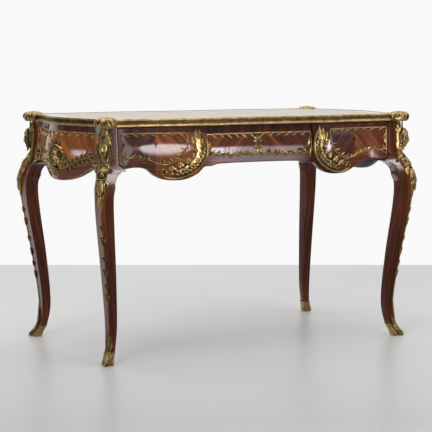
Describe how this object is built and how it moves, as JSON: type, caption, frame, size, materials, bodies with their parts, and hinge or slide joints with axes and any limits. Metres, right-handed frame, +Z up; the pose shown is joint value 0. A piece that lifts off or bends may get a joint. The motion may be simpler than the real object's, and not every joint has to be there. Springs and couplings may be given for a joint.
{
  "type": "bureau plat",
  "caption": "Writing desk on cabriole legs with a serpentine leather top, bombe drawers in the frieze and gilt bronze mounts.",
  "frame": {"origin": "on the floor, under the centre of the top", "axes": "+Z up, +X along the length to the right of a sitter, -Y to the front where the drawers open"},
  "size_m": [1.246, 0.6822, 0.789],
  "materials": {
    "veneer": "french polish",
    "gilt_bronze": "gilt, satin with darkened hollows",
    "leather": "polished, tooled border",
    "oak": "bare, planed",
    "lock_steel": "dull"
  },
  "bodies": {
    "root": {"top_panel": "veneer", "leather_panel": "leather", "edge_moulding_front": "gilt_bronze", "edge_moulding_back": "gilt_bronze", "edge_moulding_left": "gilt_bronze", "edge_moulding_right": "gilt_bronze", "corner_clasp_front_left": "gilt_bronze", "corner_clasp_front_right": "gilt_bronze", "corner_clasp_back_left": "gilt_bronze", "corner_clasp_back_right": "gilt_bronze", "leg_front_left": "veneer", "leg_front_right": "veneer", "leg_back_left": "veneer", "leg_back_right": "veneer", "sabot_front_left": "gilt_bronze", "sabot_front_right": "gilt_bronze", "sabot_back_left": "gilt_bronze", "sabot_back_right": "gilt_bronze", "knee_bust_front_left": "gilt_bronze", "knee_bust_front_right": "gilt_bronze", "knee_bust_back_left": "gilt_bronze", "knee_bust_back_right": "gilt_bronze", "leg_bead_front_left": "gilt_bronze", "leg_bead_front_right": "gilt_bronze", "leg_bead_back_left": "gilt_bronze", "leg_bead_back_right": "gilt_bronze", "side_apron_left": "veneer", "side_apron_right": "veneer", "side_frame_left": "gilt_bronze", "side_frame_right": "gilt_bronze", "side_cartouche_left": "gilt_bronze", "side_cartouche_right": "gilt_bronze", "back_apron": "veneer", "back_frames": "gilt_bronze", "back_scrolls": "gilt_bronze", "front_top_rail": "oak", "front_bottom_rail": "oak", "divider_left": "oak", "divider_right": "oak", "drawer_runners": "oak", "top_screws": "lock_steel"},
    "drawer_left": {"drawer_left_front": "veneer", "drawer_left_box": "oak", "drawer_left_bottom": "oak", "drawer_left_lock": "lock_steel", "drawer_left_frame": "gilt_bronze", "drawer_left_scroll": "gilt_bronze"},
    "drawer_centre": {"drawer_centre_front": "veneer", "drawer_centre_box": "oak", "drawer_centre_bottom": "oak", "drawer_centre_lock": "lock_steel", "drawer_centre_frame": "gilt_bronze", "drawer_centre_escutcheon": "gilt_bronze"},
    "drawer_right": {"drawer_right_front": "veneer", "drawer_right_box": "oak", "drawer_right_bottom": "oak", "drawer_right_lock": "lock_steel", "drawer_right_frame": "gilt_bronze", "drawer_right_scroll": "gilt_bronze"}
  },
  "joints": [
    {"name": "drawer_left_slide", "type": "slide", "parent": "root", "child": "drawer_left", "axis": [0, -1, 0], "range_m": [0, 0.34]},
    {"name": "drawer_centre_slide", "type": "slide", "parent": "root", "child": "drawer_centre", "axis": [0, -1, 0], "range_m": [0, 0.34]},
    {"name": "drawer_right_slide", "type": "slide", "parent": "root", "child": "drawer_right", "axis": [0, -1, 0], "range_m": [0, 0.34]}
  ]
}
